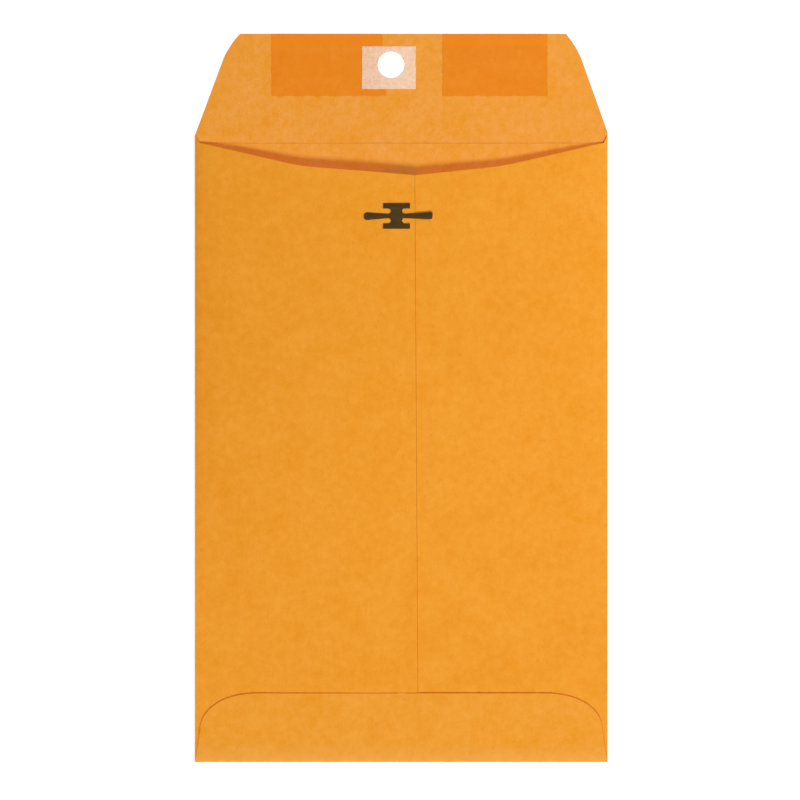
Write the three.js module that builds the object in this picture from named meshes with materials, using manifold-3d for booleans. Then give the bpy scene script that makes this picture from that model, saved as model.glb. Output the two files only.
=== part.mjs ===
// A 6 by 9 inch clasp envelope of brown kraft paper, lying on its face with the closure flap open.
// Millimetres, +Z up. X runs across the envelope and Y along it, from the bottom fold to the flap.
// The origin is under the middle of the envelope, on the surface that it lies on.
import * as THREE from "three";
import { mergeVertices } from "three/addons/utils/BufferGeometryUtils.js";
import Module from "manifold-3d";

const wasm = await Module();
wasm.setup();

// Envelope and paper
const bodyWidth = 152.4;
const bodyHeight = 228.6;
const paperThickness = 0.14;
const sideFoldGap = 0.32; // between front and back, inside the pressed side folds
const glueThickness = 0.04;
const layerClearance = 0.03; // between a glue film, or the clasp, and the paper next to it

// Arch of the back, which holds the pocket a little open
const mouthRise = 4.1;
const mouthFullLength = 75; // the arch keeps its full height this far down from the crease
const archSquareness = 0.7; // under 1, the arch is steeper at its side folds
const archLean = 0.15; // how much higher it stands towards the left

// Throat, the cut upper edge of the back
const throatDepth = 12.3; // at the seam, below the crease
const throatBendDepth = 8.85;
const throatBendInset = 39; // from the side edge to the bend
const throatBendRounding = 1.1;
const notchWidth = 1.6; // the cut between flap and back, at each end of the crease
const notchHeight = 3.3;

// Lapped seam down the back
const seamOffsetTop = 5.1; // the visible edge leans a little
const seamOffsetBottom = 6.15;
const lapWidth = 12.5;
const seamGlueWidth = 8.5;
const seamGlueEndInset = 6; // from the ends of the panels
const lapRunOut = 1; // the upper panel has climbed on to the lower one this far before the lap

// Bottom flap
const bottomFlapHeight = 25.4;
const bottomFlapLean = 2.1; // how far its straight sides lean in
const bottomFlapSideHeight = 11.5;
const bottomFlapCornerWidth = 21.5;
const bottomGlueWidth = 9;
const bottomGlueInset = 4; // from the flap's cut edge
const panelEndClearance = 0.3; // from the side panels' lower ends to the bottom fold

// Closure flap
const flapHeight = 40.4;
const flapTopInset = 15.9; // from the body's sides to the ends of its straight top edge
const flapSideHeight = 30.5; // top of its straight slanted sides
const flapSideLean = 9.8;
const flapCornerReach = 5.3; // how far the rounded corner keeps to the slant
const creaseGap = 0.06;
const holeRadius = 5;
const holeFromCrease = 28.92;
const holeOffset = -3.7;

// Gum on the flap, in two patches that reach its top edge
const gumThickness = 0.04;
const gumHeight = 23;
const leftGumEndInset = 12.2; // from the end of the flap's straight top edge
const leftGumInnerX = -7.05;
const rightGumInnerX = 15.1;
const rightGumEndInset = 6.3;

// Reinforcing patch round the hole
const patchThickness = 0.1;
const patchWidth = 19.8;
const patchHeight = 15.8;
const patchShiftX = -0.9; // from the hole's centre to the patch's
const patchShiftY = -1;

// Clasp, stamped from steel strip
const steelThickness = 0.25;
const claspOffset = -1.75;
const claspFromCrease = 27.3;
const claspWidth = 9.8;
const claspHeight = 9.4;
const barHeight = 1.95;
const columnWidth = 4.1;
const leftTongueReach = 12; // from the clasp's centre to a tongue's tip
const rightTongueReach = 13.1;
const tongueRootWidth = 1.56;
const tongueTipWidth = 2.95;
const leftTipRadius = 1.25;
const rightTipRadius = 0.6;
const bendFromColumn = 0.1; // where a tongue bends, outside the column
const bendGap = 0.04; // parts each tongue from the base at its bend
const prongWidth = 1.2;
const prongReach = 2.3; // of the clinched end, in under the paper
const prongPoint = 1; // length of its pointed part
const prongBendRadius = 0.06; // inside the bend
const slitClearance = 0.08;

// Fineness of the curved surfaces
const foldSteps = 6;
const panelColumns = 22;
const glueColumns = 4;
const fadeRows = 12;
const cornerRows = 12;
const arcSteps = 8;
const holeSteps = 48;

// Heights of the layers, from the surface up, where the back lies flat
const sideFoldRadius = paperThickness + sideFoldGap / 2;
const backUnderside = paperThickness + sideFoldGap;
const lapLift = paperThickness + glueThickness + 2 * layerClearance;
const lapTop = backUnderside + lapLift + paperThickness;
const bottomFlapUnderside = lapTop + layerClearance + glueThickness;
const bottomFoldRadius = (bottomFlapUnderside + paperThickness) / 2;
const gumTop = paperThickness + gumThickness;

// Places across and along the envelope
const halfWidth = bodyWidth / 2;
const bottomY = -(bodyHeight + flapHeight) / 2;
const creaseY = bottomY + bodyHeight;
const flapTopY = creaseY + flapHeight;
const foldCentreX = halfWidth - sideFoldRadius;
const notchX = halfWidth - notchWidth;
const throatBendX = halfWidth - throatBendInset;
const flapTopHalfWidth = halfWidth - flapTopInset;
const throatY = creaseY - throatDepth;
const panelEndY = bottomY + bottomFoldRadius + panelEndClearance;
const bottomFlapTopY = bottomY + bottomFlapHeight;
const archFullY = creaseY - mouthFullLength;
const claspY = creaseY - claspFromCrease;
const holeY = creaseY + holeFromCrease;

const finishes = {
  kraft: { color: 0xe9962c, roughness: 0.85, metalness: 0 },
  gum: { color: 0xe57a18, roughness: 0.5, metalness: 0 },
  patch: { color: 0xefc5a0, roughness: 0.9, metalness: 0 },
  glue: { color: 0xd8b98a, roughness: 0.6, metalness: 0 },
  steel: { color: 0x463a22, roughness: 0.4, metalness: 0.9 },
};

const envelope = new THREE.Group();

function addPiece(name, solid, finish) {
  const mesh = solid.getMesh();
  const geometry = new THREE.BufferGeometry();
  geometry.setAttribute("position", new THREE.BufferAttribute(mesh.vertProperties, 3));
  geometry.setIndex(new THREE.BufferAttribute(mesh.triVerts, 1));
  geometry.computeVertexNormals();
  const piece = new THREE.Mesh(geometry, new THREE.MeshStandardMaterial(finishes[finish]));
  piece.name = name;
  envelope.add(piece);
}

function solidOf(geometry) {
  const bare = geometry.clone();
  bare.deleteAttribute("normal");
  bare.deleteAttribute("uv");
  const merged = mergeVertices(bare, 1e-5);
  return new wasm.Manifold(
    new wasm.Mesh({
      numProp: 3,
      vertProperties: merged.attributes.position.array,
      triVerts: new Uint32Array(merged.index.array),
    }),
  );
}

function spread(from, to, steps) {
  return Array.from({ length: steps + 1 }, (_, i) => from + ((to - from) * i) / steps);
}

function extrude(shape, depth) {
  return new THREE.ExtrudeGeometry(shape, { depth, bevelEnabled: false, curveSegments: arcSteps });
}

function block(width, depth, height, x, y, z) {
  return solidOf(new THREE.BoxGeometry(width, depth, height).translate(x, y, z));
}

// A curved sheet between two nets of points, its upper face and its lower one. A net is a list of
// rows from the bottom fold towards the flap, each running from left to right.
function curvedSheet(upper, lower) {
  const rows = upper.length;
  const columns = upper[0].length;
  const top = (i, j) => i * columns + j;
  const under = (i, j) => (rows + i) * columns + j;
  const lastRow = rows - 1;
  const lastColumn = columns - 1;
  const faces = [];
  const quad = (a, b, c, d) => faces.push(a, b, c, a, c, d);
  for (let i = 0; i < lastRow; i++) {
    for (let j = 0; j < lastColumn; j++) {
      quad(top(i, j), top(i, j + 1), top(i + 1, j + 1), top(i + 1, j));
      quad(under(i, j), under(i + 1, j), under(i + 1, j + 1), under(i, j + 1));
    }
    quad(top(i, 0), top(i + 1, 0), under(i + 1, 0), under(i, 0));
    quad(under(i, lastColumn), under(i + 1, lastColumn), top(i + 1, lastColumn), top(i, lastColumn));
  }
  for (let j = 0; j < lastColumn; j++) {
    quad(under(0, j), under(0, j + 1), top(0, j + 1), top(0, j));
    quad(top(lastRow, j), top(lastRow, j + 1), under(lastRow, j + 1), under(lastRow, j));
  }
  const points = [...upper.flat(), ...lower.flat()].flatMap(({ x, y, z }) => [x, y, z]);
  const geometry = new THREE.BufferGeometry();
  geometry.setAttribute("position", new THREE.Float32BufferAttribute(points, 3));
  geometry.setIndex(faces);
  return solidOf(geometry);
}

// How far the back stands up above its flat state: an arch across the envelope, which holds its
// height from the mouth to below the clasp and then fades out down to the bottom flap.
function archHeight(x, y) {
  const across = THREE.MathUtils.clamp(x / foldCentreX, -1, 1);
  const along = THREE.MathUtils.smoothstep(y, bottomFlapTopY, archFullY);
  return mouthRise * (1 - across ** 2) ** archSquareness * (1 - archLean * across) * along;
}

// Rows that all sheets of the back share, so that their facets lie alike on one another.
const archRowYs = spread(bottomFlapTopY, archFullY, fadeRows);

function seamX(y) {
  return THREE.MathUtils.mapLinear(y, panelEndY, throatY, seamOffsetBottom, seamOffsetTop);
}

// Depth of the throat below the crease. Distances out are measured from the middle towards a side
// fold, and the line runs in from that fold to the seam at vertexOut.
function throatBelowCrease(out, vertexOut) {
  const upper = (throatBendDepth * (notchX - out)) / (notchX - throatBendX);
  const lower = THREE.MathUtils.mapLinear(out, throatBendX, vertexOut, throatBendDepth, throatDepth);
  const near = Math.max(throatBendRounding - Math.abs(upper - lower), 0);
  return Math.min(upper, lower) - near ** 2 / (4 * throatBendRounding);
}

// Upper edge of a side panel: down the notch beside the crease, then along the throat.
function panelTopY(out, vertexOut) {
  if (out >= notchX) return creaseY + (notchHeight * (out - notchX)) / notchWidth;
  return creaseY - throatBelowCrease(out, vertexOut);
}

// A side panel with its pressed fold, from the front panel's edge, round, and over to its inner
// edge. side is -1 for the left one and 1 for the right; lift raises it on to what it laps over.
function sidePanel(side, innerX, lift) {
  const columns = [];
  for (const angle of spread(-Math.PI / 2, Math.PI / 2, foldSteps)) {
    const foldPoint = (radius) => () => ({
      out: foldCentreX + radius * Math.cos(angle),
      z: sideFoldRadius + radius * Math.sin(angle),
    });
    columns.push({
      topY: panelTopY(foldCentreX + (sideFoldRadius - paperThickness / 2) * Math.cos(angle), 0),
      upper: foldPoint(sideFoldRadius),
      lower: foldPoint(sideFoldRadius - paperThickness),
    });
  }
  const innerTop = side * innerX(throatY);
  const innerBottom = side * innerX(panelEndY);
  for (const turn of spread(Math.PI / 2, 0, panelColumns)) {
    const outAt = (y) => {
      const inner = THREE.MathUtils.mapLinear(y, panelEndY, throatY, innerBottom, innerTop);
      return THREE.MathUtils.lerp(inner, notchX, Math.sin(turn));
    };
    const sheetPoint = (above) => (y) => {
      const out = outAt(y);
      return { out, z: backUnderside + above + lift(side * out) + archHeight(side * out, y) };
    };
    columns.push({
      topY: panelTopY(outAt(throatY), side * seamOffsetTop),
      upper: sheetPoint(paperThickness),
      lower: sheetPoint(0),
    });
  }
  if (side > 0) columns.reverse();
  const row = (face, yOf) =>
    columns.map((column) => {
      const y = yOf(column);
      const { out, z } = column[face](y);
      return new THREE.Vector3(side * out, y, z);
    });
  const net = (face) => [
    row(face, () => panelEndY),
    ...archRowYs.map((y) => row(face, () => y)),
    row(face, (column) => column.topY),
  ];
  return curvedSheet(net("upper"), net("lower"));
}

// The left panel climbs from its side fold on to the right one, and its edge is the visible seam.
function leftPanelLift(x) {
  return lapLift * THREE.MathUtils.smoothstep(x, -foldCentreX, seamOffsetTop - lapWidth - lapRunOut);
}

function rightPanelInnerX(y) {
  return seamX(y) - lapWidth;
}

// The clasp lies flat over the arch, so its height follows the highest point under it, and that of
// its clinched prongs the lowest point over them.
const tongueSpan = spread(claspOffset - leftTongueReach, claspOffset + rightTongueReach, arcSteps);
const highestArch = Math.max(...tongueSpan.map((x) => archHeight(x, claspY)));
const claspUnderside = lapTop + highestArch + layerClearance;
const claspTop = claspUnderside + steelThickness;
const baseEnds = [claspOffset - claspWidth / 2, claspOffset + claspWidth / 2];
const lowestArch = Math.min(...baseEnds.map((x) => archHeight(x, claspY)));
const clinchTop = backUnderside + lowestArch - layerClearance;

// One prong hangs from each end of the two bars.
const prongPlaces = [-1, 1].flatMap((side) =>
  [-1, 1].map((bar) => ({
    side,
    x: claspOffset + (side * claspWidth) / 2,
    y: claspY + (bar * (claspHeight - barHeight)) / 2,
  })),
);

// Slits that the prongs pass through.
function cutSlits(sheet) {
  const width = steelThickness + 2 * slitClearance;
  const length = prongWidth + 2 * slitClearance;
  return prongPlaces.reduce((cut, { side, x, y }) => {
    const slitX = x - (side * steelThickness) / 2;
    return cut.subtract(block(width, length, 2 * claspTop, slitX, y, 0));
  }, sheet);
}

// Front panel: flat, and cut off at the crease between two small ears.
function frontPanel() {
  const earTopY = panelTopY(foldCentreX, 0);
  const shape = new THREE.Shape();
  shape.moveTo(-foldCentreX, bottomY + bottomFoldRadius);
  shape.lineTo(foldCentreX, bottomY + bottomFoldRadius);
  shape.lineTo(foldCentreX, earTopY);
  shape.lineTo(notchX, creaseY);
  shape.lineTo(-notchX, creaseY);
  shape.lineTo(-foldCentreX, earTopY);
  shape.closePath();
  return solidOf(extrude(shape, paperThickness));
}

// Adhesive film inside the lap of the seam.
function seamGlue() {
  const underside = backUnderside + paperThickness + layerClearance;
  const inset = (lapWidth - seamGlueWidth) / 2;
  const ys = [panelEndY + seamGlueEndInset, ...archRowYs, throatY - seamGlueEndInset];
  const net = (z) =>
    ys.map((y) =>
      spread(seamX(y) - inset - seamGlueWidth, seamX(y) - inset, glueColumns).map(
        (x) => new THREE.Vector3(x, y, z + archHeight(x, y)),
      ),
    );
  return curvedSheet(net(underside + glueThickness), net(underside));
}

// Half the bottom flap's width at a height above the bottom edge: slanted sides, then elliptical
// corners.
function bottomFlapHalfWidth(height) {
  if (height <= bottomFlapSideHeight) {
    return halfWidth - (bottomFlapLean * height) / bottomFlapSideHeight;
  }
  const up = Math.min((height - bottomFlapSideHeight) / (bottomFlapHeight - bottomFlapSideHeight), 1);
  return halfWidth - bottomFlapLean - bottomFlapCornerWidth * (1 - Math.sqrt(1 - up ** 2));
}

// A row of a level sheet, from its left edge to its right one.
function levelRow(half, height, z) {
  return [-half, half].map((x) => new THREE.Vector3(x, bottomY + height, z));
}

// Bottom flap: folded up from the front panel's lower edge, over the ends of the side panels.
function bottomFlap() {
  const foldRows = (radius) =>
    spread(-Math.PI / 2, Math.PI / 2, foldSteps).map((angle) => {
      const height = bottomFoldRadius - radius * Math.cos(angle);
      return levelRow(bottomFlapHalfWidth(height), height, bottomFoldRadius + radius * Math.sin(angle));
    });
  const flatHeights = spread(0, Math.PI / 2, cornerRows).map((turn) =>
    THREE.MathUtils.lerp(bottomFlapSideHeight, bottomFlapHeight, Math.sin(turn)),
  );
  const net = (radius, z) => [
    ...foldRows(radius),
    ...flatHeights.map((height) => levelRow(bottomFlapHalfWidth(height), height, z)),
  ];
  const outer = net(bottomFoldRadius, bottomFlapUnderside + paperThickness);
  const inner = net(bottomFoldRadius - paperThickness, bottomFlapUnderside);
  return curvedSheet(outer, inner);
}

// Adhesive film under the bottom flap, a band that follows its cut edge.
function bottomFlapGlue() {
  const top = bottomFlapHeight - bottomGlueInset;
  const heights = spread(top - bottomGlueWidth, top, cornerRows);
  const half = (height) => bottomFlapHalfWidth(height + bottomGlueInset) - bottomGlueInset;
  const net = (z) => heights.map((height) => levelRow(half(height), height, z));
  return curvedSheet(net(bottomFlapUnderside), net(bottomFlapUnderside - glueThickness));
}

// The hole for the clasp's tongues, through flap, gum and patch.
function punchHole(sheet) {
  const punch = new THREE.CylinderGeometry(holeRadius, holeRadius, 4 * gumTop, holeSteps);
  return sheet.subtract(solidOf(punch.rotateX(Math.PI / 2).translate(holeOffset, holeY, gumTop)));
}

// Closure flap: slanted sides that round in to a straight top edge.
function closureFlap() {
  const shoulder = new THREE.Vector2(halfWidth, creaseY + notchHeight + creaseGap);
  const slantEnd = new THREE.Vector2(halfWidth - flapSideLean, creaseY + flapSideHeight);
  const slant = slantEnd.clone().sub(shoulder).normalize();
  const corner = slantEnd.clone().addScaledVector(slant, flapCornerReach);
  const shape = new THREE.Shape();
  shape.moveTo(-notchX, creaseY + creaseGap);
  shape.lineTo(notchX, creaseY + creaseGap);
  shape.lineTo(shoulder.x, shoulder.y);
  shape.lineTo(slantEnd.x, slantEnd.y);
  shape.quadraticCurveTo(corner.x, corner.y, flapTopHalfWidth, flapTopY);
  shape.lineTo(-flapTopHalfWidth, flapTopY);
  shape.quadraticCurveTo(-corner.x, corner.y, -slantEnd.x, slantEnd.y);
  shape.lineTo(-shoulder.x, shoulder.y);
  shape.closePath();
  return punchHole(solidOf(extrude(shape, paperThickness)));
}

function gumPatch(fromX, toX) {
  const x = (fromX + toX) / 2;
  const y = flapTopY - gumHeight / 2;
  return punchHole(block(toX - fromX, gumHeight, gumThickness, x, y, gumTop - gumThickness / 2));
}

function eyeletPatch() {
  const x = holeOffset + patchShiftX;
  const y = holeY + patchShiftY;
  return punchHole(block(patchWidth, patchHeight, patchThickness, x, y, gumTop + patchThickness / 2));
}

// The clasp's blank: two bars joined by a column, and a tapered tongue out of each side between
// round-ended notches. Its plan is drawn as a quarter and mirrored.
const slotHeight = claspHeight - 2 * barHeight;
const notchRadius = (slotHeight - tongueRootWidth) / 4;
const bendX = columnWidth / 2 + bendFromColumn;
const leftTongue = { reach: leftTongueReach, tipRadius: leftTipRadius };
const rightTongue = { reach: rightTongueReach, tipRadius: rightTipRadius };

function claspBlank({ reach, tipRadius }) {
  const notchCentreX = columnWidth / 2 + notchRadius;
  const notchCentreY = slotHeight / 2 - notchRadius;
  const tipX = reach - tipRadius;
  const quarter = new THREE.Path();
  quarter.moveTo(0, claspHeight / 2);
  quarter.lineTo(claspWidth / 2, claspHeight / 2);
  quarter.lineTo(claspWidth / 2, slotHeight / 2);
  quarter.lineTo(notchCentreX, slotHeight / 2);
  quarter.absarc(notchCentreX, notchCentreY, notchRadius, Math.PI / 2, Math.PI * 1.5, false);
  quarter.lineTo(tipX, tongueTipWidth / 2);
  quarter.absarc(tipX, tongueTipWidth / 2 - tipRadius, tipRadius, Math.PI / 2, 0, true);
  const upper = quarter.getPoints(arcSteps);
  const right = [...upper, ...upper.map(({ x, y }) => new THREE.Vector2(x, -y)).reverse()];
  const left = right.map(({ x, y }) => new THREE.Vector2(-x, y)).reverse();
  const outline = new THREE.Shape([...right, ...left.slice(1, -1)]);
  return solidOf(extrude(outline, steelThickness).translate(claspOffset, claspY, claspUnderside));
}

// The space that a tongue takes, half way into the notches beside it and from a given distance out.
function tongueSpace(side, from) {
  const x = claspOffset + side * (from + rightTongueReach / 2);
  return block(rightTongueReach, tongueRootWidth + 2 * notchRadius, 2 * claspTop, x, claspY, 0);
}

// A prong bent down through its slit and clinched in to a point under the paper.
function prong({ side, x, y }) {
  const outerRadius = prongBendRadius + steelThickness;
  const clinchUnderside = clinchTop - steelThickness;
  const root = claspTop - steelThickness / 2;
  const bendZ = clinchUnderside + outerRadius;
  const straight = prongReach - prongPoint;
  const hook = new THREE.Shape();
  hook.moveTo(0, root);
  hook.absarc(outerRadius, bendZ, outerRadius, Math.PI, Math.PI * 1.5, false);
  hook.lineTo(straight, clinchUnderside);
  hook.lineTo(straight, clinchTop);
  hook.absarc(outerRadius, bendZ, prongBendRadius, Math.PI * 1.5, Math.PI, true);
  hook.lineTo(steelThickness, root);
  hook.closePath();
  const point = new THREE.Shape();
  point.moveTo(outerRadius, -prongWidth / 2);
  point.lineTo(straight, -prongWidth / 2);
  point.lineTo(prongReach, 0);
  point.lineTo(straight, prongWidth / 2);
  point.lineTo(outerRadius, prongWidth / 2);
  point.closePath();
  const hookStrip = extrude(hook, prongWidth).rotateX(Math.PI / 2).translate(0, prongWidth / 2, 0);
  const pointStrip = extrude(point, steelThickness).translate(0, 0, clinchUnderside);
  const turn = side < 0 ? 0 : Math.PI;
  const placed = (strip) => solidOf(strip.rotateZ(turn).translate(x, y, 0));
  return placed(hookStrip).add(placed(pointStrip));
}

// The base has the bars, the column and the tongues' roots as far as the bends.
function claspBase() {
  const bars = claspBlank(leftTongue)
    .subtract(tongueSpace(-1, bendX))
    .subtract(tongueSpace(1, bendX));
  return prongPlaces.reduce((base, place) => base.add(prong(place)), bars);
}

function claspTongue(side, tongue) {
  return claspBlank(tongue).intersect(tongueSpace(side, bendX + bendGap));
}

addPiece("front_panel", frontPanel(), "kraft");
addPiece("right_side_panel", cutSlits(sidePanel(1, rightPanelInnerX, () => 0)), "kraft");
addPiece("left_side_panel", cutSlits(sidePanel(-1, seamX, leftPanelLift)), "kraft");
addPiece("back_seam_glue", cutSlits(seamGlue()), "glue");
addPiece("bottom_flap", bottomFlap(), "kraft");
addPiece("bottom_flap_glue", bottomFlapGlue(), "glue");
addPiece("closure_flap", closureFlap(), "kraft");
addPiece("gum_patch_left", gumPatch(leftGumEndInset - flapTopHalfWidth, leftGumInnerX), "gum");
addPiece("gum_patch_right", gumPatch(rightGumInnerX, flapTopHalfWidth - rightGumEndInset), "gum");
addPiece("eyelet_patch", eyeletPatch(), "patch");
addPiece("clasp_base", claspBase(), "steel");
addPiece("clasp_tongue_left", claspTongue(-1, leftTongue), "steel");
addPiece("clasp_tongue_right", claspTongue(1, rightTongue), "steel");

export default envelope;
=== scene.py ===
import functools
import math

import bmesh
import bpy
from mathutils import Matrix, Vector


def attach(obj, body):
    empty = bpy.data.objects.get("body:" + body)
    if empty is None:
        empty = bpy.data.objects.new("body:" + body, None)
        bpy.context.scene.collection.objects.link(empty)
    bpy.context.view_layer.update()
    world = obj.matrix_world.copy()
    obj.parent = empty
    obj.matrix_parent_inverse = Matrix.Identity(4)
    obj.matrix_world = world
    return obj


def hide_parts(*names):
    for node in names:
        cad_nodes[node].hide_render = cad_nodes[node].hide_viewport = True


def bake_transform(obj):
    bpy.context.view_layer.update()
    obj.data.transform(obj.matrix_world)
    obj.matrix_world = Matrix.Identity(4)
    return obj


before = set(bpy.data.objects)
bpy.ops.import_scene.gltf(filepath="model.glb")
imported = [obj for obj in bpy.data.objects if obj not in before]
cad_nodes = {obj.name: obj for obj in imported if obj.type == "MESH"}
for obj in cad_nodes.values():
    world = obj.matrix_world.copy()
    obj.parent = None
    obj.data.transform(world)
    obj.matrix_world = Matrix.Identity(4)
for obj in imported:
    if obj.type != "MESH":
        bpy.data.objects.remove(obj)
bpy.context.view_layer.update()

# The face sheet: the envelope's front and, past a scored crease, its closure flap. One flat piece
# of kraft paper that lies inner side up. The die cuts the flap's leaning sides and round corners
# and a small notch at each end of the crease, and a punch makes the hole.
mm = 0.001
touch = 0.01 * mm  # points this close count as being at the same place
paper_thickness = 0.14 * mm
light_through = (0.54, 0.2, 0.1, 1)  # what each of the paper's two faces lets into a shadow
half_width = 76.2 * mm
bottom_y = -134.5 * mm
crease_y = 94.1 * mm
flap_top_y = 134.5 * mm
bottom_fold_radius = 0.525 * mm
sheet_cell = 3 * mm
notch_x = 74.6 * mm
hole_place = Vector((-3.7, 123.02, 0)) * mm
hole_radius = 5.0 * mm
crease_rows = [0.1, 0.25, 0.45, 0.7, 1.0, 1.3]  # mm to either side of the crease
score_depth = 0.035 * mm
# The dark mark along the crease is partly pressed fibres and partly painted shade in the score's
# groove.
score_mark_y = crease_y + 0.06 * mm
score_mark_core = 0.1 * mm  # to either side
score_mark_end = 0.35 * mm
score_mark_strength = 0.26
flap_round_steps = 8
flap_points = {
    -1: [(76.05, 97.46), (65.95, 124.6), (64.05, 129.59), (59.6, 134.5)],
    1: [(76.2, 97.46), (76.2, 98.2), (66.8, 124.6), (65.0, 129.59), (60.8, 134.5)],
}  # mm, left and right, up the slant to its end, its round's corner and its round's end


def choose(piece):
    """Makes one piece the active one and the only one selected."""
    bpy.ops.object.select_all(action="DESELECT")
    bpy.context.view_layer.objects.active = piece
    piece.select_set(True)


def open_shape(piece):
    """Opens one piece for shaping, with nothing selected."""
    choose(piece)
    bpy.ops.object.mode_set(mode="EDIT")
    bpy.ops.mesh.select_all(action="DESELECT")


def close_shape():
    bpy.ops.object.mode_set(mode="OBJECT")


def pick(piece, kind, test):
    """Selects the open piece's verts, edges or faces whose middle passes the test."""
    bpy.ops.mesh.select_mode(type={"verts": "VERT", "edges": "EDGE", "faces": "FACE"}[kind])
    bpy.ops.mesh.select_all(action="DESELECT")
    shape = bmesh.from_edit_mesh(piece.data)
    for part in getattr(shape, kind):
        corners = [part] if kind == "verts" else part.verts
        middle = sum((v.co for v in corners), Vector()) / len(corners)
        if test(middle):
            part.select_set(True)
    shape.select_flush_mode()
    bmesh.update_edit_mesh(piece.data)


def slice_at(place, normal):
    """Cuts new edges where a plane crosses what is selected."""
    bpy.ops.mesh.bisect(plane_co=place, plane_no=normal, use_fill=False, threshold=1e-7)


def slice_all(piece, place, normal):
    pick(piece, "faces", lambda middle: True)
    slice_at(place, normal)


def cut_away(piece, place, normal, test=lambda middle: True):
    """Cuts the faces that pass the test with a plane, and clears those on its normal's side."""
    place, normal = Vector(place), Vector(normal)
    pick(piece, "faces", test)
    slice_at(place, normal)
    pick(piece, "faces", lambda middle: test(middle) and (middle - place).dot(normal) > 0)
    bpy.ops.mesh.delete(type="FACE")


def trim(piece, points, side, test, cut=cut_away):
    """Cuts the sheet along a line of points and clears what lies to the right of the line.
    The line is drawn for the right half, and mirrored where side is -1."""
    for (x0, y0), (x1, y1) in zip(points[:-1], points[1:]):
        cut(
            piece,
            (side * x0, y0, 0),
            (side * (y1 - y0), x0 - x1, 0),
            lambda middle: test(side * middle.x, middle.y, x0, x1),
        )


def paper_sheet(name, low_x, high_x, low_y, high_y, z, cell=sheet_cell):
    """A flat sheet in square cells, left open for shaping."""
    bpy.ops.object.select_all(action="DESELECT")
    bpy.ops.mesh.primitive_grid_add(
        x_subdivisions=round((high_x - low_x) / cell),
        y_subdivisions=round((high_y - low_y) / cell),
        size=1,
        location=((low_x + high_x) / 2, (low_y + high_y) / 2, z),
    )
    sheet = bpy.context.object
    sheet.name = name
    sheet.scale = (high_x - low_x, high_y - low_y, 1)
    bpy.ops.object.transform_apply(location=True, rotation=True, scale=True)
    open_shape(sheet)
    return sheet


def finish_modifier(piece, kind, **settings):
    """Adds a modifier and applies it."""
    bpy.context.view_layer.objects.active = piece
    modifier = piece.modifiers.new(kind.lower(), kind)
    for key, value in settings.items():
        setattr(modifier, key, value)
    bpy.ops.object.modifier_apply(modifier=modifier.name)


def give_thickness(piece, offset):
    """Makes a sheet as thick as the paper. Its upper side, its underside and its cut edge take
    the first, second and third material."""
    finish_modifier(
        piece,
        "SOLIDIFY",
        thickness=paper_thickness,
        offset=offset,
        material_offset=1,
        material_offset_rim=2,
    )


def smooth(piece, angle=30):
    choose(piece)
    bpy.ops.object.shade_smooth_by_angle(angle=math.radians(angle))


def dress(piece, *materials):
    piece.data.materials.clear()
    for material in materials:
        piece.data.materials.append(material)


def round_cutter(place, radius, height, corners):
    bpy.ops.object.select_all(action="DESELECT")
    bpy.ops.mesh.primitive_cylinder_add(
        vertices=corners, radius=radius, depth=height, location=place
    )
    return bpy.context.object


def cut_with(piece, cutter):
    """Takes the cutter's space out of the piece, and removes the cutter."""
    finish_modifier(piece, "BOOLEAN", operation="DIFFERENCE", object=cutter, solver="EXACT")
    bpy.data.objects.remove(cutter)


def punch_hole(piece):
    cut_with(piece, round_cutter(hole_place, hole_radius, 4 * mm, 96))


def node(tree, kind, feeds=None, **settings):
    """Adds a shader node with its settings. Feeds are values, or the sockets that lead into it."""
    made = tree.nodes.new("ShaderNode" + kind)
    for key, value in settings.items():
        setattr(made, key, value)
    for key, value in (feeds or {}).items():
        if isinstance(value, bpy.types.NodeSocket):
            tree.links.new(value, made.inputs[key])
        else:
            made.inputs[key].default_value = value
    return made


def calc(tree, operation, a, b=0.0):
    return node(tree, "Math", {0: a, 1: b}, operation=operation).outputs[0]


def remap(tree, value, low, high, to_low, to_high):
    feeds = {"Value": value, "From Min": low, "From Max": high, "To Min": to_low, "To Max": to_high}
    return node(tree, "MapRange", feeds).outputs[0]


def tint(tree, amount, a, b):
    """Mixes colour a with colour b."""
    return node(tree, "Mix", {0: amount, 6: a, 7: b}, data_type="RGBA").outputs[2]


def noise(tree, place, scale, detail, roughness=0.5):
    feeds = {"Vector": place, "Scale": scale, "Detail": detail, "Roughness": roughness}
    return node(tree, "TexNoise", feeds).outputs[0]


def stretch(tree, place, scale):
    return node(tree, "Mapping", {"Vector": place, "Scale": scale}).outputs[0]


def coordinate(tree, place, axis):
    return node(tree, "SeparateXYZ", {0: place}).outputs[axis]


def colour(code):
    """The linear colour of a six-digit colour code."""
    parts = [int(code[i : i + 2], 16) / 255 for i in (0, 2, 4)]
    return [p / 12.92 if p <= 0.04045 else ((p + 0.055) / 1.055) ** 2.4 for p in parts] + [1]


def new_group(name, inputs, outputs):
    group = bpy.data.node_groups.new(name, "ShaderNodeTree")
    for side, sockets in (("INPUT", inputs), ("OUTPUT", outputs)):
        for socket, kind in sockets.items():
            group.interface.new_socket(socket, in_out=side, socket_type="NodeSocket" + kind)
    return group, group.nodes.new("NodeGroupInput").outputs, group.nodes.new("NodeGroupOutput")


# Kraft pulp: soft clouds, the finer clumps of the sheet's formation, streaks and fibres that lie
# along the web, and a few faint specks of bark.
usual = (0.3, 0.7)  # the range that most of a noise falls in
tone_swings = {"clouds": 0.04, "clumps": 0.07, "streaks": 0.012, "fibres": 0.065}
channel_swing = (0.34, 0.95, 8)  # how strongly red, green and blue follow the tone
speck_range = (0.66, 0.78)  # the top of its noise, so that specks are few
speck_strength = 0.14
clump_relief = 1.5  # against the fibres' own

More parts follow.
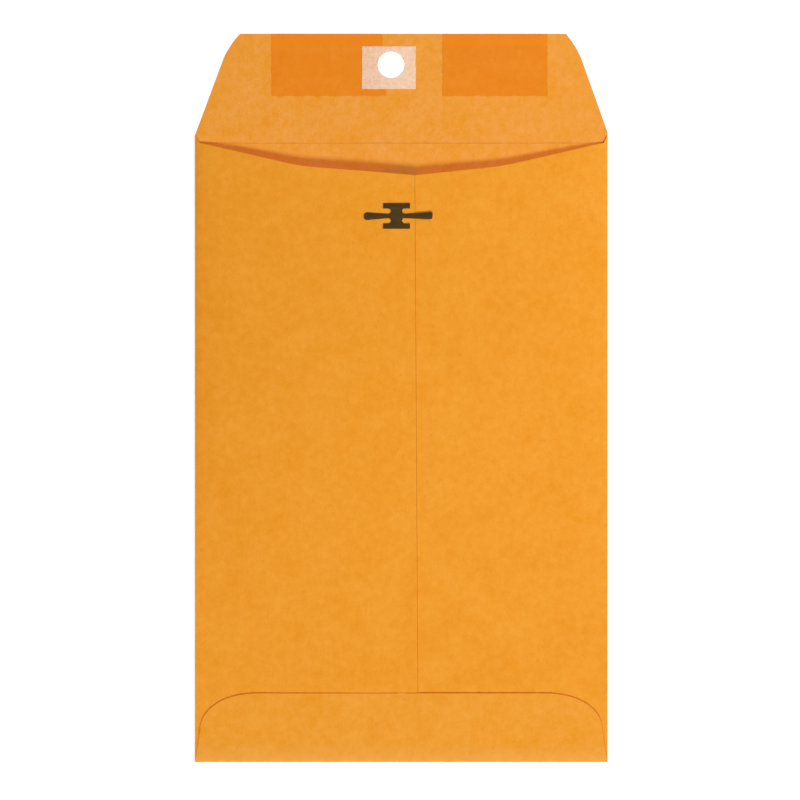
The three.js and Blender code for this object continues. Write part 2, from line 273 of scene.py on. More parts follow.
pulp, given, result = new_group(
    "kraft_pulp",
    {"Place": "Vector", "Paper": "Color", "Clumping": "Float", "Specks": "Float"},
    {"Color": "Color", "Roughness": "Float", "Height": "Float"},
)
pulp_place = given["Place"]
patterns = {
    "clouds": noise(pulp, pulp_place, 75, 3),
    "clumps": noise(pulp, pulp_place, 330, 4, 0.6),
    "streaks": noise(pulp, stretch(pulp, pulp_place, (1, 0.1, 1)), 700, 3, 0.6),
    "fibres": noise(pulp, stretch(pulp, pulp_place, (1, 0.55, 1)), 2400, 4, 0.65),
}
tone = 0.0
for pattern, swing in tone_swings.items():
    tone = calc(pulp, "ADD", tone, remap(pulp, patterns[pattern], *usual, -swing, swing))
tone = calc(pulp, "MULTIPLY", tone, given["Clumping"])
swung = node(pulp, "VectorMath", {0: channel_swing, "Scale": tone}, operation="SCALE").outputs[0]
shade_feeds = {0: swung, 1: given["Paper"], 2: given["Paper"]}
shade = node(pulp, "VectorMath", shade_feeds, operation="MULTIPLY_ADD").outputs[0]
bark = noise(pulp, stretch(pulp, pulp_place, (1, 0.6, 1)), 900, 1)
specks = remap(pulp, bark, *speck_range, 0.0, speck_strength)
specks = calc(pulp, "MULTIPLY", specks, given["Specks"])
relief = calc(pulp, "MULTIPLY", patterns["clumps"], clump_relief)
relief = calc(pulp, "ADD", patterns["fibres"], relief)
pulp.links.new(tint(pulp, specks, shade, colour("b06a20")), result.inputs["Color"])
pulp.links.new(remap(pulp, patterns["fibres"], *usual, 0.68, 0.84), result.inputs["Roughness"])
pulp.links.new(relief, result.inputs["Height"])


def new_finish(name, rest_place=False):
    """A new material, its node tree and the place on the piece. A piece that bends reads the
    place that its points have at rest."""
    material = bpy.data.materials.new(name)
    material.use_nodes = True
    tree = material.node_tree
    if rest_place:
        place = node(tree, "Attribute", attribute_name="rest_place").outputs["Vector"]
    else:
        place = node(tree, "TexCoord").outputs["Object"]
    return material, tree, place


def cover(tree, base, roughness, height, relief, depth, shine=0.5):
    """Leads a finish's patterns to its shader: its colour, its roughness, and a bump with its
    strength and depth. The shine is the specular level."""
    shader = tree.nodes["Principled BSDF"]
    bump = node(tree, "Bump", {"Height": height, "Strength": relief, "Distance": depth})
    tree.links.new(base, shader.inputs["Base Color"])
    tree.links.new(roughness, shader.inputs["Roughness"])
    tree.links.new(bump.outputs[0], shader.inputs["Normal"])
    shader.inputs["Specular IOR Level"].default_value = shine


def recolour(tree, amount, code):
    """Mixes another colour into a finish that is covered."""
    socket = tree.nodes["Principled BSDF"].inputs["Base Color"]
    tree.links.new(tint(tree, amount, socket.links[0].from_socket, colour(code)), socket)


def paper_finish(name, code, clumping=1.0, rest_place=False):
    """A kraft paper material. The paper is thin enough for some red light to come through into
    its shadows."""
    material, tree, place = new_finish(name, rest_place)
    feeds = {"Place": place, "Paper": colour(code), "Clumping": clumping, "Specks": 1.0}
    paper = node(tree, "Group", feeds, node_tree=pulp).outputs
    cover(tree, paper["Color"], paper["Roughness"], paper["Height"], 0.3, 0.04 * mm, shine=0.3)
    shader = tree.nodes["Principled BSDF"].outputs[0]
    through = node(tree, "BsdfTransparent", {"Color": light_through}).outputs[0]
    shading = node(tree, "LightPath").outputs["Is Shadow Ray"]
    sheet = node(tree, "MixShader", {0: shading, 1: shader, 2: through}).outputs[0]
    tree.links.new(sheet, tree.nodes["Material Output"].inputs["Surface"])
    return material


def mark_crease_and_shade(material):
    """Darkens the paper along the crease: partly the fibres that the score has pressed, partly
    painted shade in the score's groove.
    """
    tree = material.node_tree
    place = node(tree, "Attribute", attribute_name="rest_place").outputs["Vector"]
    away = calc(tree, "SUBTRACT", coordinate(tree, place, "Y"), score_mark_y)
    away = calc(tree, "ABSOLUTE", away)
    pressed_and_shaded = remap(tree, away, score_mark_core, score_mark_end, score_mark_strength, 0.0)
    recolour(tree, pressed_and_shaded, "a8601c")


kraft_inside_face = paper_finish("kraft_face_inside", "eb9832", rest_place=True)
kraft_outside_face = paper_finish("kraft_face_outside", "ea9618", rest_place=True)
cut_edge_face = paper_finish("kraft_face_cut_edge", "e0a050", clumping=1.5, rest_place=True)
mark_crease_and_shade(kraft_inside_face)
mark_crease_and_shade(kraft_outside_face)

front_end_y = bottom_y + bottom_fold_radius
face = paper_sheet("face_sheet", -half_width, half_width, front_end_y, flap_top_y, 0)
for row in sorted({side * away for away in crease_rows for side in (-1, 1)} | {0}):
    slice_all(face, (0, crease_y + row * mm, 0), (0, 1, 0))
shares = [step / flap_round_steps for step in range(flap_round_steps + 1)]
for side in (-1, 1):
    *slant, start, corner, end = [Vector(point) * mm for point in flap_points[side]]
    flap_round = [start * (1 - t) ** 2 + corner * 2 * t * (1 - t) + end * t**2 for t in shares]
    flap_outline = [(notch_x, crease_y), *slant, *flap_round, (0, flap_top_y)]
    cut_away(face, (side * notch_x, 0, 0), (side, 0, 0), lambda middle: middle.y < crease_y)
    trim(face, flap_outline, side, lambda out, y, x0, x1: out > 0 and y > crease_y)
close_shape()
dress(face, kraft_inside_face, kraft_outside_face, cut_edge_face)
give_thickness(face, 1)
punch_hole(face)
open_shape(face)
pick(face, "verts", lambda place: place.z > 0 and abs(place.y - crease_y) < touch)
bpy.ops.transform.translate(value=(0, 0, -score_depth))
close_shape()
smooth(face)


def keep_rest_place(piece):
    """Notes where each point is at rest, for a pattern that stays on a piece that bends."""
    place = piece.data.attributes.new("rest_place", "FLOAT_VECTOR", "POINT")
    place.data.foreach_set("vector", [c for v in piece.data.vertices for c in v.co])


keep_rest_place(face)
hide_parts("front_panel", "closure_flap")
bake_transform(face)

# The back is two side panels, each folded over from the face at a pressed side fold. Their cut
# upper edges make the throat, and the back stands up in an arch that holds the mouth open.
fold_x = 75.9 * mm
fold_height = 0.3 * mm  # of the fold's centre line
fold_steps = 10
fold_columns = [0.15, 0.4, 0.8, 2, 2.9]  # mm in from the fold, where the arch is steep
back_height = 0.53 * mm  # of the middle of a side panel's paper, where the back lies flat
arch_rise = 4.1 * mm
arch_full_y = 19.1 * mm
arch_end_y = -109.1 * mm
arch_squareness = 0.7
arch_lean = 0.15
notch_height = 3.3 * mm
throat_depth = 12.3 * mm
throat_y = crease_y - throat_depth
throat_bend_x = 37.2 * mm
throat_bend_depth = 8.85 * mm
throat_rounding = 0.8 * mm
throat_spots = [66, 56, 48, 45, 42, 39, 37.2, 35, 32, 29, 26, 20, 10]  # mm from the middle
throat_overrun = 2 * mm  # of the throat's cut past a panel's inner edge
seam_x_top = 5.1 * mm
seam_x_bottom = 6.4 * mm
lap_width = 12.5 * mm
lap_lift = 0.24 * mm
lap_start_x = -8.5 * mm
panel_top_y = crease_y + 4 * mm
panel_end_y = bottom_y + 0.825 * mm
# Width of the painted shade band along a side panel's cut inner edge, standing in for the thin
# shadow at the seam's step.
edge_shade_band = 0.25 * mm


def ease(value, low, high):
    t = min(max((value - low) / (high - low), 0), 1)
    return t * t * (3 - 2 * t)


def arch_height(x, y):
    """How far the back stands up above its flat state."""
    across = min(max(x / fold_x, -1), 1)
    rise = arch_rise * (1 - across**2) ** arch_squareness * (1 - arch_lean * across)
    return rise * ease(y, arch_end_y, arch_full_y)


def throat_line(seam_out, inner_out):
    """The cut upper edge of a side panel, from beyond its notch in to its inner edge."""
    line = [(half_width, crease_y + notch_height), (notch_x, crease_y)]
    for out in [spot * mm for spot in throat_spots] + [seam_out]:
        upper = throat_bend_depth * (notch_x - out) / (notch_x - throat_bend_x)
        share = (throat_bend_x - out) / (throat_bend_x - seam_out)
        lower = throat_bend_depth + share * (throat_depth - throat_bend_depth)
        near = max(throat_rounding - abs(upper - lower), 0)
        line.append((out, crease_y - min(upper, lower) + near**2 / (4 * throat_rounding)))
    (x0, y0), (x1, y1) = line[-2:]
    if inner_out < seam_out:
        line.append((inner_out, y1 + (y1 - y0) * (inner_out - x1) / (x1 - x0)))
    return line


def paint_edge_shade(piece, place, normal, test=lambda middle: True, band=edge_shade_band):
    """Gives the cut edge's darker finish to a narrow band of the sheet along a plane that cut it.
    The band is painted shade, standing in for the thin shadow along the cut edge.
    """
    normal = Vector(normal).normalized()
    place = Vector(place) - normal * band
    pick(piece, "faces", test)
    slice_at(place, normal)
    pick(piece, "faces", lambda middle: test(middle) and (middle - place).dot(normal) > 0)
    piece.active_material_index = 2
    bpy.ops.object.material_slot_assign()


def fold_over(piece, centre, axis):
    """Turns the selected edges of a sheet half round into a fold."""
    bpy.ops.mesh.spin(steps=fold_steps, angle=math.pi, center=centre, axis=axis)


def turn_upper_side_up(piece):
    """Makes a folded sheet's faces agree again, with its highest one facing up."""
    bpy.ops.mesh.select_all(action="SELECT")
    bpy.ops.mesh.normals_make_consistent(inside=False)
    shape = bmesh.from_edit_mesh(piece.data)
    highest = max(shape.faces, key=lambda part: part.calc_center_median().z)
    if highest.normal.z < 0:
        bpy.ops.mesh.flip_normals()


def side_panel(name, side, inner_top, inner_bottom, lift):
    """A side panel with its fold. inner_top and inner_bottom are its inner edge's ends in x."""
    inner = min(side * inner_top, side * inner_bottom)
    low_x, high_x = sorted((side * inner, side * fold_x))
    panel = paper_sheet(name, low_x, high_x, panel_end_y, panel_top_y, back_height)
    dress(panel, kraft_outside, kraft_inside, cut_edge_and_shade)
    line = throat_line(side * seam_x_top, side * inner_top - throat_overrun)
    for out in [fold_x - column * mm for column in fold_columns] + [out for out, y in line[1:]]:
        slice_all(panel, (side * out, 0, 0), (1, 0, 0))
    trim(panel, line[1:], side, lambda out, y, x0, x1: x1 < out < x0)
    edge = Vector((inner_top - inner_bottom, throat_y - panel_end_y, 0))
    # The inner edge is cut, and a band along it is painted with the edge's shade.
    for cut in (cut_away, paint_edge_shade):
        cut(panel, (inner_bottom, panel_end_y, 0), (-side * edge.y, side * edge.x, 0))
    pick(panel, "edges", lambda middle: abs(side * middle.x - fold_x) < touch)
    fold_over(panel, (side * fold_x, 0, fold_height), (0, -side, 0))
    bpy.ops.mesh.extrude_region_move(
        TRANSFORM_OT_translate={"value": (side * (notch_x - fold_x), 0, 0)}
    )
    turn_upper_side_up(panel)
    trim(panel, line[:2], side, lambda out, y, x0, x1: out > x1)
    close_shape()
    for vertex in panel.data.vertices:
        x, y, z = vertex.co
        if z > back_height - touch and side * x < fold_x:
            vertex.co.z += arch_height(x, y) + lift(x)
    give_thickness(panel, 0)
    return panel


def lay_panel(panel, replaced):
    smooth(panel)
    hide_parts(replaced)
    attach(panel, "envelope")


kraft_outside = paper_finish("kraft_outside", "ea961d")
kraft_inside = paper_finish("kraft_inside", "eb9832")
# The cut edge's finish is darkened as painted shade, and it also colours the painted shade bands
# beside cut edges.
cut_edge_and_shade = paper_finish("kraft_cut_edge_and_shade", "c67a10")
right_panel = side_panel(
    "right_side_panel_paper", 1, seam_x_top - lap_width, seam_x_bottom - lap_width, lambda x: 0
)
left_panel = side_panel(
    "left_side_panel_paper",
    -1,
    seam_x_top,
    seam_x_bottom,
    lambda x: lap_lift * ease(x, -fold_x, lap_start_x),
)
lay_panel(right_panel, "right_side_panel")
lay_panel(left_panel, "left_side_panel")

# The bottom flap folds up from the face's lower edge, over the ends of the side panels, and is
# glued to them. It is cut with leaning sides and long round corners. Its paper is a little paler
# than the back's outer kraft: painted light, standing in for the flap's slight slope towards the
# main lamp. The fold has worn it paler still.
lean_end_y = bottom_y + 11.5 * mm
flap_lean = 1.8 * mm
corner_width = 21.8 * mm
corner_power = 0.93  # a little fuller than an ellipse
corner_steps = 14
bottom_flap_top_y = -109.0 * mm
bottom_flap_height = 0.98 * mm  # of the middle of its paper
# Painted shade bands along the bottom flap's cut edges, standing in for the thin shadow that its
# edge casts.
corner_shade_band = 0.12 * mm  # width of the painted shade band along the lean and the round corner, narrower than the seam's
top_shade_band = 0.18 * mm
wear_start_y = bottom_y + 0.3 * mm
wear_end_y = bottom_y + 7 * mm

# A paler copy of the outer kraft as painted light, with a band worn paler near the fold.
kraft_lit_and_worn = paper_finish("kraft_outside_lit_and_worn", "ea9824")
lit_and_worn_tree = kraft_lit_and_worn.node_tree
worn_up = coordinate(lit_and_worn_tree, node(lit_and_worn_tree, "TexCoord").outputs["Object"], "Y")
recolour(lit_and_worn_tree, remap(lit_and_worn_tree, worn_up, wear_start_y, wear_end_y, 0.22, 0.0), "f0b46a")

bottom_flap = paper_sheet(
    "bottom_flap_paper",
    -half_width,
    half_width,
    front_end_y,
    bottom_flap_top_y,
    bottom_flap_height,
)
dress(bottom_flap, kraft_lit_and_worn, kraft_inside, cut_edge_and_shade)
corner_height = bottom_flap_top_y - lean_end_y
corner_x = half_width - flap_lean - corner_width
turns = [math.pi / 2 * step / corner_steps for step in range(corner_steps + 1)]
corner_line = [
    (
        corner_x + corner_width * math.cos(turn) ** corner_power,
        lean_end_y + corner_height * math.sin(turn) ** corner_power,
    )
    for turn in turns
]
lean_line = [(half_width, bottom_y), corner_line[0]]
top_line = [corner_line[-1], (0, bottom_flap_top_y)]
slice_all(bottom_flap, (0, lean_end_y, 0), (0, 1, 0))


def on_lean(out, y, x0, x1):
    return out > 0 and y < lean_end_y


def on_corner(out, y, x0, x1):
    return out > 0 and y > lean_end_y


# Bands along the flap's cut edges are painted with the edge's shade.
paint_corner_shade = functools.partial(paint_edge_shade, band=corner_shade_band)
paint_top_shade = functools.partial(paint_edge_shade, band=top_shade_band)
for side in (-1, 1):
    trim(bottom_flap, lean_line, side, on_lean)
    trim(bottom_flap, corner_line + top_line[1:], side, on_corner)
    trim(bottom_flap, lean_line, side, on_lean, paint_corner_shade)
    trim(bottom_flap, corner_line, side, on_corner, paint_corner_shade)
    trim(bottom_flap, top_line, side, on_corner, paint_top_shade)
pick(bottom_flap, "edges", lambda middle: abs(middle.y - front_end_y) < touch)
fold_over(bottom_flap, (0, front_end_y, bottom_fold_radius), (-1, 0, 0))
turn_upper_side_up(bottom_flap)
close_shape()
give_thickness(bottom_flap, 0)
lay_panel(bottom_flap, "bottom_flap")

# The adhesive films inside the seam and under the bottom flap: a thin, uneven coat of dried glue
# that holds the laps. Only their edges show.
glue, glue_tree, glue_place = new_finish("dried_glue")
ripple = noise(glue_tree, glue_place, 300, 3)
glue_colour = tint(glue_tree, ripple, colour("c99a5c"), colour("e0bd86"))
glue_roughness = remap(glue_tree, ripple, *usual, 0.35, 0.6)
cover(glue_tree, glue_colour, glue_roughness, ripple, 0.4, 0.02 * mm)
for name in ("back_seam_glue", "bottom_flap_glue"):
    dress(cad_nodes[name], glue)

# The gum on the closure flap: two patches of dried remoistenable gum, rolled on up to the flap's
# top edge. The coat soaks into the kraft and darkens it, and its edges wander a little.
gum_thickness = 0.04 * mm
gum_low_y = 111.5 * mm
gum_cell = 0.8 * mm
gum_wander = 0.22 * mm
gum_spread = 1.4 * mm  # the left patch's right end, at its lower corner
gum_patches = {"gum_patch_left": (-48.1, -7.05), "gum_patch_right": (15.1, 54.0)}  # ends in mm
thick_band_y = (flap_top_y - 4.6 * mm, flap_top_y - 4.0 * mm)  # where the thicker coat begins

gum, gum_tree, gum_place = new_finish("flap_gum")
soaked_feeds = {"Place": gum_place, "Paper": colour("e8861b"), "Clumping": 0.85, "Specks": 0.5}
soaked = node(gum_tree, "Group", soaked_feeds, node_tree=pulp).outputs
coat = noise(gum_tree, gum_place, 110, 3)
thick = remap(gum_tree, coat, 0.35, 0.65, 0.0, 0.35)
gum_colour = tint(gum_tree, thick, soaked["Color"], colour("eb8014"))
thick_band = remap(gum_tree, coordinate(gum_tree, gum_place, "Y"), *thick_band_y, 0.0, 0.6)
gum_colour = tint(gum_tree, thick_band, gum_colour, colour("ef8518"))
gum_roughness = remap(gum_tree, coat, *usual, 0.55, 0.7)
cover(gum_tree, gum_colour, gum_roughness, soaked["Height"], 0.3, 0.03 * mm, shine=0.12)


def wander(along, reach):
    """A small sideways step along an edge, from waves of about 7, 3 and 1 mm."""
    slow = math.sin(along / mm * 0.9 + 1.3) + 0.7 * math.sin(along / mm * 2.3 + 0.4)
    return reach * (0.5 * slow + 0.3 * math.sin(along / mm * 5.1))


def rough_edges(film, low_x, high_x, low_y, high_y, reach, spread=0.0):
    """Makes a film's edges wander. An edge at the flap's top stays straight. The right edge
    leans out by the spread at its lower end."""
    for vertex in film.data.vertices:
        x, y, z = vertex.co
        if min(x - low_x, high_x - x) < touch:
            vertex.co.x += wander(y + x, reach)
        if high_x - x < touch:
            vertex.co.x += spread * (high_y - y) / (high_y - low_y)
        if y - low_y < touch:
            vertex.co.y += wander(x, reach)
        if high_y < flap_top_y and high_y - y < touch:
            vertex.co.y += wander(x + 1, reach)


for name, ends in gum_patches.items():
    patch_box = (ends[0] * mm, ends[1] * mm, gum_low_y, flap_top_y)
    on_left = name == "gum_patch_left"
    film = paper_sheet(name + "_film", *patch_box, paper_thickness, gum_cell)
    close_shape()
    rough_edges(film, *patch_box, gum_wander, gum_spread if on_left else 0.0)
    dress(film, gum)
    finish_modifier(film, "SOLIDIFY", thickness=gum_thickness, offset=1)
    if on_left:
        punch_hole(film)
    smooth(film)
    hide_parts(name)
    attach(film, "flap")

# The reinforcing patch round the hole: a small piece of pale, fibrous, unwoven tape, stuck on over
# the gum. It is thin enough to show darker where the gum lies under it.
fleece_box = (-14.5 * mm, 5.3 * mm, 114.12 * mm, 129.92 * mm)
fleece_thickness = 0.1 * mm
fleece_cell = 0.6 * mm
fleece_wander = 0.08 * mm
fleece_edge_round = 0.03 * mm
gum_end_x = gum_patches["gum_patch_left"][1] * mm
gum_shows_x = (gum_end_x - 3 * mm, gum_end_x + 4 * mm)  # where the gum's colour fades out

fleece, fleece_tree, fleece_place = new_finish("fibre_patch")
long_fibres = noise(fleece_tree, stretch(fleece_tree, fleece_place, (1, 0.3, 1)), 1700, 3, 0.6)
cross_fibres = noise(fleece_tree, stretch(fleece_tree, fleece_place, (0.35, 1, 1)), 1500, 3, 0.6)
fibre_mesh = calc(fleece_tree, "MAXIMUM", long_fibres, cross_fibres)
tufts = noise(fleece_tree, fleece_place, 700, 4, 0.6)
across = coordinate(fleece_tree, fleece_place, "X")
beside_gum = remap(fleece_tree, across, *gum_shows_x, 0.0, 1.0)
backing = tint(fleece_tree, beside_gum, colour("ebbe9b"), colour("f1c9a6"))
pale_fibres = remap(fleece_tree, fibre_mesh, 0.45, 0.75, 0.0, 0.55)
fleece_colour = tint(fleece_tree, pale_fibres, backing, colour("fbe0cc"))
thin_places = remap(fleece_tree, tufts, 0.5, 0.7, 0.0, 0.35)
fleece_colour = tint(fleece_tree, thin_places, fleece_colour, colour("dd9c70"))
fleece_roughness = remap(fleece_tree, tufts, *usual, 0.8, 0.95)
cover(fleece_tree, fleece_colour, fleece_roughness, fibre_mesh, 0.5, 0.05 * mm, shine=0.3)

patch = paper_sheet(
    "eyelet_patch_fleece", *fleece_box, paper_thickness + gum_thickness, fleece_cell
)
close_shape()
rough_edges(patch, *fleece_box, fleece_wander)
dress(patch, fleece)
finish_modifier(patch, "SOLIDIFY", thickness=fleece_thickness, offset=1)
punch_hole(patch)
finish_modifier(
    patch,
    "BEVEL",
    width=fleece_edge_round,
    segments=2,
    limit_method="ANGLE",
    angle_limit=math.radians(50),
)
smooth(patch)
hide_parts("eyelet_patch")
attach(patch, "flap")

# The clasp is stamped from thin steel strip with a dark bronze-coloured coat: two bars, the column
# between them, and a tapered tongue out of each side. The tongues bend up at their roots. A prong
# at each end of a bar goes down through the back and is clinched inwards under it.
steel_thickness = 0.25 * mm
clasp_middle = Vector((-1.75, 66.8, 5.00228)) * mm  # z is its underside
bar_reach = 4.9 * mm
bar_outer = 4.7 * mm
slot_reach = 2.75 * mm  # from the middle up to a bar's inner edge
column_reach = 2.05 * mm
notch_round = 0.985 * mm
notch_up = slot_reach - notch_round  # from the middle up to an upper notch's centre
tongue_root = column_reach + 0.85 * notch_round  # where a tongue's blank begins
bend_out = 2.15 * mm  # from the clasp's middle to a tongue's bend
bend_half = 0.15 * mm
bend_steps = 6
steel_edge_round = 0.05 * mm
steel_crease = 35  # degrees, past which an edge stays sharp
clear = 1 * mm  # how far a cutter reaches past what it cuts
prong_half_width = 0.6 * mm
prong_reach = 2.3 * mm
prong_point = 0.15  # of the prong's width
prong_bend_radius = 0.06 * mm
clinch_top_z = 4.4996 * mm
slit_room = 0.08 * mm
tongue_shapes = {
    -1: (12.0 * mm, 1.475 * mm, 1.25 * mm, 0.7),
    1: (13.25 * mm, 1.36 * mm, 0.95 * mm, 0.8),
}  # reach, half the width and round of the tip, and tilt in degrees


def steel_block(low_x, high_x, low_y, high_y, extra=0.0):
    """A plain block of the strip's thickness and the extra, measured from the clasp's middle."""
    bpy.ops.object.select_all(action="DESELECT")
    middle = Vector(((low_x + high_x) / 2, (low_y + high_y) / 2, steel_thickness / 2))
    bpy.ops.mesh.primitive_cube_add(size=1, location=clasp_middle + middle)
    block = bpy.context.object
    block.scale = (high_x - low_x, high_y - low_y, steel_thickness + extra)
    bpy.ops.object.transform_apply(location=True, rotation=True, scale=True)
    return block


def add_to(piece, other):
    finish_modifier(piece, "BOOLEAN", operation="UNION", object=other, solver="EXACT")
    bpy.data.objects.remove(other)


def tongue_blank(side):
    """A tapered tongue with a round tip, from inside the notches out."""
    reach, tip_half_width, tip_round, tilt = tongue_shapes[side]
    root_half = slot_reach - 2 * notch_round
    blank = steel_block(*sorted((side * tongue_root, side * reach)), -root_half, root_half)
    tip_x = clasp_middle.x + side * reach
    open_shape(blank)
    pick(blank, "verts", lambda place: abs(place.x - tip_x) < touch)
    bpy.ops.transform.resize(
        value=(1, tip_half_width / root_half, 1),
        center_override=(tip_x, clasp_middle.y, clasp_middle.z),
    )
    pick(
        blank,
        "edges",
        lambda middle: abs(middle.x - tip_x) < touch
        and abs(middle.y - clasp_middle.y) > tip_half_width / 2
        and abs(middle.z - clasp_middle.z - steel_thickness / 2) < touch,
    )
    bpy.ops.mesh.bevel(offset=tip_round, segments=10, affect="EDGES")
    close_shape()
    return blank


clasp = steel_block(-bar_reach, bar_reach, -bar_outer, bar_outer)
clasp.name = "clasp_plate"
for side in (-1, 1):
    ends = sorted((side * (column_reach + notch_round), side * (bar_reach + clear)))
    cut_with(clasp, steel_block(*ends, -slot_reach, slot_reach, clear))
    for half in (-1, 1):
        notch_middle = Vector((side * (column_reach + notch_round), half * notch_up, 0))
        cut_with(clasp, round_cutter(clasp_middle + notch_middle, notch_round, 2 * clear, 48))
    add_to(clasp, tongue_blank(side))
finish_modifier(
    clasp,
    "BEVEL",
    width=steel_edge_round,
    segments=3,
    limit_method="ANGLE",
    angle_limit=math.radians(40),
)

# The coat on the steel is a dark, bronze-coloured lacquer, a little mottled, and rubbed thinner in
# fine lines along the strip.
bronze, bronze_tree, bronze_place = new_finish("bronzed_steel")
rubbing = noise(bronze_tree, stretch(bronze_tree, bronze_place, (0.08, 1, 1)), 9000, 3, 0.6)
tarnish = noise(bronze_tree, bronze_place, 900, 4, 0.6)
coat_colour = tint(bronze_tree, tarnish, colour("34270b"), colour("493813"))
rubbed = remap(bronze_tree, rubbing, 0.55, 0.8, 0.0, 0.25)
coat_colour = tint(bronze_tree, rubbed, coat_colour, colour("6b562c"))
coat_roughness = remap(bronze_tree, rubbing, *usual, 0.32, 0.48)
cover(bronze_tree, coat_colour, coat_roughness, rubbing, 0.25, 0.01 * mm)
bronze_tree.nodes["Principled BSDF"].inputs["Metallic"].default_value = 0.85
dress(clasp, bronze)

# Each tongue is parted from the plate just inside its bend, tilted a little as in life, and cut
# into narrow rows so that it bends in a soft curve.
for side, word in ((-1, "left"), (1, "right")):
    reach, tip_half_width, tip_round, tilt = tongue_shapes[side]
    tongue = clasp.copy()
    tongue.data = clasp.data.copy()
    tongue.name = f"clasp_tongue_{word}_bent"
    bpy.context.collection.objects.link(tongue)
    ends = sorted((side * (bend_out - bend_half), side * (reach + clear)))
    space = steel_block(*ends, -notch_up, notch_up, clear)
    finish_modifier(tongue, "BOOLEAN", operation="INTERSECT", object=space, solver="EXACT")
    cut_with(clasp, space)
    open_shape(tongue)
    for step in range(1 - bend_steps, bend_steps + 1):
        row = bend_out + bend_half * step / bend_steps
        slice_all(tongue, (clasp_middle.x + side * row, 0, 0), (1, 0, 0))
    close_shape()
    pivot = clasp_middle + Vector((side * bend_out, 0, 0))
    for vertex in tongue.data.vertices:
        out = side * (vertex.co.x - pivot.x)
        vertex.co.y += side * max(out - bend_half, 0) * math.tan(math.radians(tilt))
    smooth(tongue, steel_crease)
    keep_rest_place(tongue)
    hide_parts(f"clasp_tongue_{word}")
    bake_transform(tongue)

# Prongs: each goes down from a bar's end through both laps, turns inwards, and is drawn in to a
# point. The slits that they have pushed open are a little wider than the steel.
turn_z = clinch_top_z + prong_bend_radius
prong_inner = bar_reach - steel_thickness
for side in (-1, 1):
    leg_sides = sorted((side * prong_inner, side * bar_reach))
    for bar in (-1, 1):
        bar_y = bar * (bar_outer + slot_reach) / 2
        prong = steel_block(*leg_sides, bar_y - prong_half_width, bar_y + prong_half_width)
        open_shape(prong)
        pick(prong, "faces", lambda middle: middle.z < clasp_middle.z + touch)
        bpy.ops.mesh.extrude_region_move(
            TRANSFORM_OT_translate={"value": (0, 0, turn_z - clasp_middle.z)}
        )
        bpy.ops.mesh.spin(
            steps=6,
            angle=math.pi / 2,
            center=(clasp_middle.x + side * (prong_inner - prong_bend_radius), 0, turn_z),
            axis=(0, -side, 0),
        )
        bpy.ops.mesh.extrude_region_move(
            TRANSFORM_OT_translate={"value": (side * (steel_thickness - prong_reach), 0, 0)}
        )
        bpy.ops.transform.resize(
            value=(1, prong_point, 1), center_override=clasp_middle + Vector((0, bar_y, 0))
        )
        bpy.ops.mesh.select_all(action="SELECT")
        bpy.ops.mesh.normals_make_consistent(inside=False)
        close_shape()
        add_to(clasp, prong)
        for panel in (right_panel, left_panel):
            slit = steel_block(
                leg_sides[0] - slit_room,
                leg_sides[1] + slit_room,
                bar_y - prong_half_width - slit_room,
                bar_y + prong_half_width + slit_room,
                2 * clear,
            )
            cut_with(panel, slit)

smooth(clasp, steel_crease)
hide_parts("clasp_base")
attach(clasp, "envelope")

# The table is a plain white sheet that keeps the envelope's shadow. It is lit up to white for the
# camera alone, and only away from the envelope.
table_width = 6.0
table_z = -0.02 * mm
glow_from = 0.25  # metres from the middle, where the glow is least
glow_full = 0.8
least_glow = 0.18

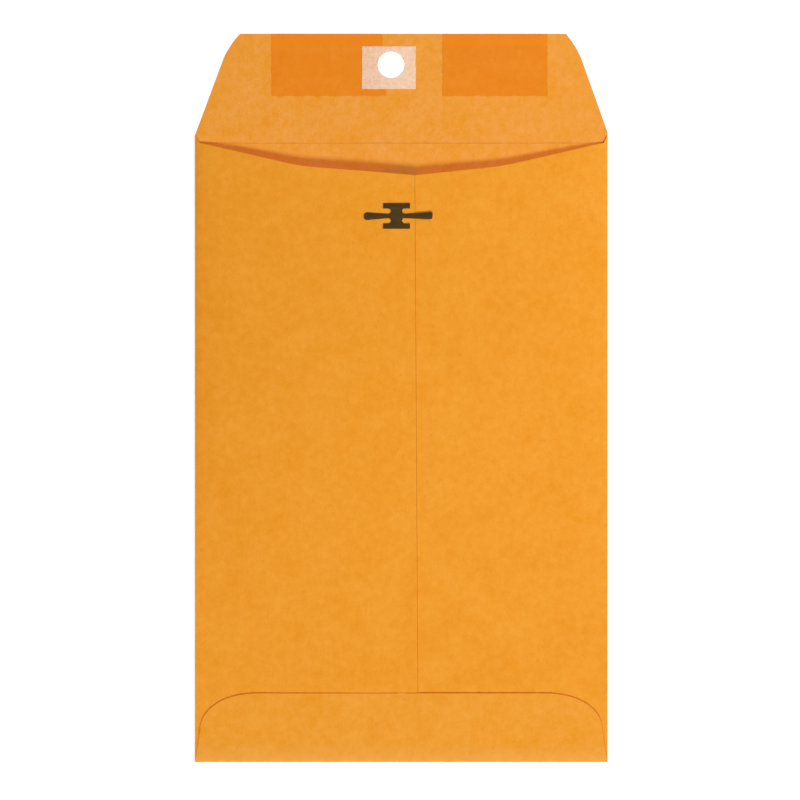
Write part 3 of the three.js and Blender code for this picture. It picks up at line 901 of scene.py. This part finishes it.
bpy.ops.object.select_all(action="DESELECT")
bpy.ops.mesh.primitive_plane_add(size=table_width, location=(0, 0, table_z))
table = bpy.context.object
table.name = "table"
white, white_tree, white_place = new_finish("white_table")
white_sockets = white_tree.nodes["Principled BSDF"].inputs
white_sockets["Base Color"].default_value = (0.93, 0.93, 0.93, 1)
white_sockets["Roughness"].default_value = 0.9
white_sockets["Specular IOR Level"].default_value = 0.1
white_sockets["Emission Color"].default_value = (1, 1, 1, 1)
away = node(white_tree, "VectorMath", {0: white_place}, operation="LENGTH").outputs["Value"]
glow = remap(white_tree, away, glow_from, glow_full, least_glow, 1.0)
seen = node(white_tree, "LightPath").outputs["Is Camera Ray"]
white_tree.links.new(calc(white_tree, "MULTIPLY", glow, seen), white_sockets["Emission Strength"])
dress(table, white)

# The room gives even, pale light from all round, and is white where the camera or a reflection
# sees it.
room_light = 0.1
room = bpy.data.worlds.new("room")
bpy.context.scene.world = room
room.use_nodes = True
room_tree = room.node_tree
backdrop = room_tree.nodes["Background"]
backdrop.inputs["Color"].default_value = (1, 1, 1, 1)
rays = node(room_tree, "LightPath").outputs
shown = calc(room_tree, "MAXIMUM", rays["Is Camera Ray"], rays["Is Glossy Ray"])
shown = calc(room_tree, "MAXIMUM", shown, rays["Is Transmission Ray"])
strength = remap(room_tree, shown, 0.0, 1.0, room_light, 1.0)
room_tree.links.new(strength, backdrop.inputs["Strength"])


# Two lamps: the main one stands below the envelope's foot and shades the throat, and a broad
# softer one stands to the right. Both point at the envelope's middle.
def lamp(name, towards, away, size, power):
    """A round lamp, with its distance and size in metres and its power in watts."""
    light = bpy.data.lights.new(name, "AREA")
    light.shape = "DISK"
    light.size = size
    light.energy = power
    made = bpy.data.objects.new(name, light)
    place = Vector(towards).normalized() * away
    made.location = place
    made.rotation_euler = (-place).to_track_quat("-Z", "Y").to_euler()
    bpy.context.collection.objects.link(made)


lamp("main_lamp", (-0.05, -0.74, 0.87), away=3.3, size=0.99, power=82)
lamp("side_lamp", (0.78, 0.32, 0.72), away=1.2, size=0.6, power=8.0)

# The camera looks straight down at the envelope from a distance. Its frame is 295.58 mm wide at
# the height of the paper.
view_middle = Vector((-0.48, -0.8, 0.3)) * mm
frame_width = 295.58 * mm
lens = 100
film_width = 36
camera = bpy.data.objects.new("camera", bpy.data.cameras.new("camera"))
camera.data.lens = lens
camera.data.sensor_width = film_width
camera.location = view_middle + Vector((0, 0, frame_width * lens / film_width))
bpy.context.collection.objects.link(camera)
bpy.context.scene.camera = camera
bpy.context.scene.view_settings.view_transform = "Standard"
